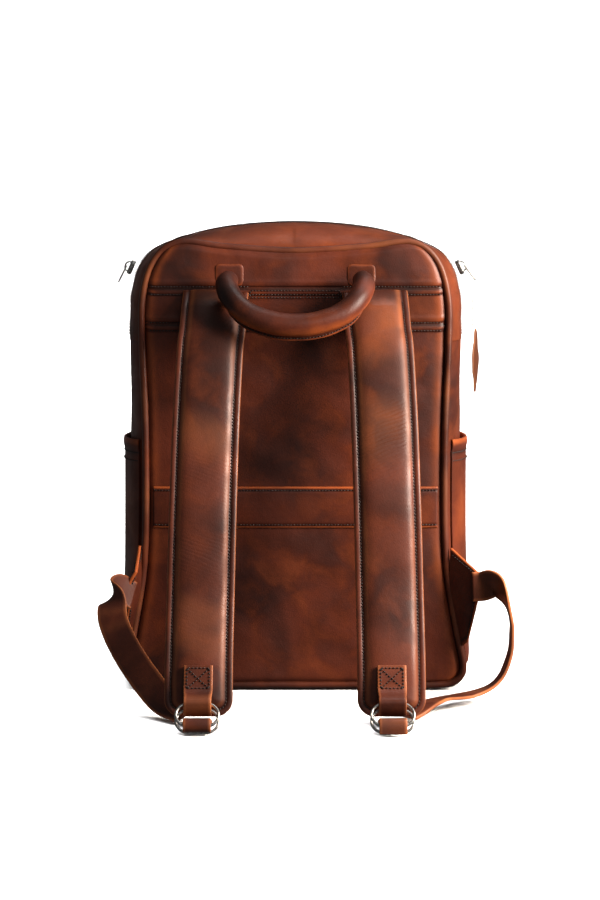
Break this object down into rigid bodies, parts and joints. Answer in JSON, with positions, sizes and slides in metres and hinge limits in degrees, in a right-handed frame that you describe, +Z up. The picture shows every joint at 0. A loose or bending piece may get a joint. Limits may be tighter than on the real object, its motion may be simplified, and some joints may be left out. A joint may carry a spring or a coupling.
{
  "type": "leather backpack",
  "caption": "Leather laptop backpack with padded shoulder straps, rolled grab handle, trolley band, side pockets and zips.",
  "frame": {"origin": "middle of the flat base, on the surface the bag stands on", "axes": "+Z up; -Y towards the wearer's back, where the harness is; +X to the right for someone looking at the harness"},
  "size_m": [0.3548, 0.329, 0.4089],
  "materials": {
    "leather": "waxed pull-up leather, burnished",
    "dark_leather": "waxed pull-up leather, dark",
    "tag_leather": "natural tan split leather",
    "nickel": "polished nickel plate",
    "foam": "closed-cell foam",
    "board": "fibre board",
    "lining": "cotton twill lining",
    "zip_tape": "woven polyester tape"
  },
  "bodies": {
    "bag": {"back_yoke": "leather", "back_strip": "leather", "back_panel": "leather", "back_foam": "foam", "back_piping": "leather", "front_panel": "leather", "front_piping": "leather", "base_panel": "dark_leather", "base_board": "board", "side_gusset_left": "leather", "side_gusset_right": "leather", "zip_strip_back": "leather", "zip_strip_front": "leather", "zip_tape": "zip_tape", "zip_teeth": "nickel", "side_pocket_left": "leather", "side_pocket_right": "leather", "laptop_sleeve": "lining", "trolley_band": "leather", "front_pocket": "leather", "front_pocket_zip": "zip_tape", "strap_root_left": "leather", "strap_root_right": "leather", "wing_left": "leather", "wing_right": "leather", "lower_strap_left": "leather", "lower_strap_right": "leather", "handle_tab_left": "leather", "handle_tab_right": "leather"},
    "handle": {"handle_grip": "leather", "handle_fin": "leather"},
    "strap_left": {"strap_face_left": "leather", "strap_foam_left": "foam", "strap_lining_left": "leather", "ring_tab_left": "dark_leather", "ring_upper_left": "nickel", "ring_lower_left": "nickel", "strap_end_left": "leather"},
    "strap_right": {"strap_face_right": "leather", "strap_foam_right": "foam", "strap_lining_right": "leather", "ring_tab_right": "dark_leather", "ring_upper_right": "nickel", "ring_lower_right": "nickel", "strap_end_right": "leather"},
    "slider_left": {"zip_slider_left": "nickel"},
    "pull_left": {"zip_pull_left": "nickel"},
    "slider_right": {"zip_slider_right": "nickel"},
    "pull_right": {"zip_pull_right": "nickel"},
    "chain": {"ball_chain": "nickel"},
    "tag": {"leather_tag": "tag_leather"},
    "pocket_slider": {"pocket_slider": "nickel"},
    "pocket_pull": {"pocket_pull": "nickel"}
  },
  "joints": [
    {"name": "handle_lift", "type": "hinge", "parent": "bag", "child": "handle", "pos_m": [0, -0.079, 0.36], "axis": [-1, 0, 0], "range_deg": [0, 108]},
    {"name": "strap_left_swing", "type": "hinge", "parent": "bag", "child": "strap_left", "pos_m": [-0.072, -0.1093, 0.3029], "axis": [-1, 0, 0], "range_deg": [0, 25]},
    {"name": "strap_right_swing", "type": "hinge", "parent": "bag", "child": "strap_right", "pos_m": [0.072, -0.1093, 0.3029], "axis": [-1, 0, 0], "range_deg": [0, 25]},
    {"name": "slider_left_slide", "type": "slide", "parent": "bag", "child": "slider_left", "axis": [-0.4067, 0, -0.9135], "range_m": [0, 0.015]},
    {"name": "pull_left_swing", "type": "hinge", "parent": "slider_left", "child": "pull_left", "pos_m": [-0.14906, 0, 0.36847], "axis": [0, 1, 0], "range_deg": [0, 110]},
    {"name": "slider_right_slide", "type": "slide", "parent": "bag", "child": "slider_right", "axis": [0.4067, 0, -0.9135], "range_m": [0, 0.012]},
    {"name": "pull_right_swing", "type": "hinge", "parent": "slider_right", "child": "pull_right", "pos_m": [0.14906, 0, 0.36847], "axis": [0, -1, 0], "range_deg": [0, 50]},
    {"name": "chain_swing", "type": "hinge", "parent": "pull_right", "child": "chain", "pos_m": [0.16026, 0, 0.35193], "axis": [0, -1, 0], "range_deg": [0, 60]},
    {"name": "tag_swing", "type": "hinge", "parent": "chain", "child": "tag", "pos_m": [0.16026, 0, 0.31383], "axis": [0, -1, 0], "range_deg": [0, 45]},
    {"name": "pocket_slider_slide", "type": "slide", "parent": "bag", "child": "pocket_slider", "axis": [1, 0, 0], "range_m": [0, 0.124]},
    {"name": "pocket_pull_swing", "type": "hinge", "parent": "pocket_slider", "child": "pocket_pull", "pos_m": [-0.062, 0.0922, 0.22], "axis": [1, 0, 0], "range_deg": [0, 150]}
  ]
}
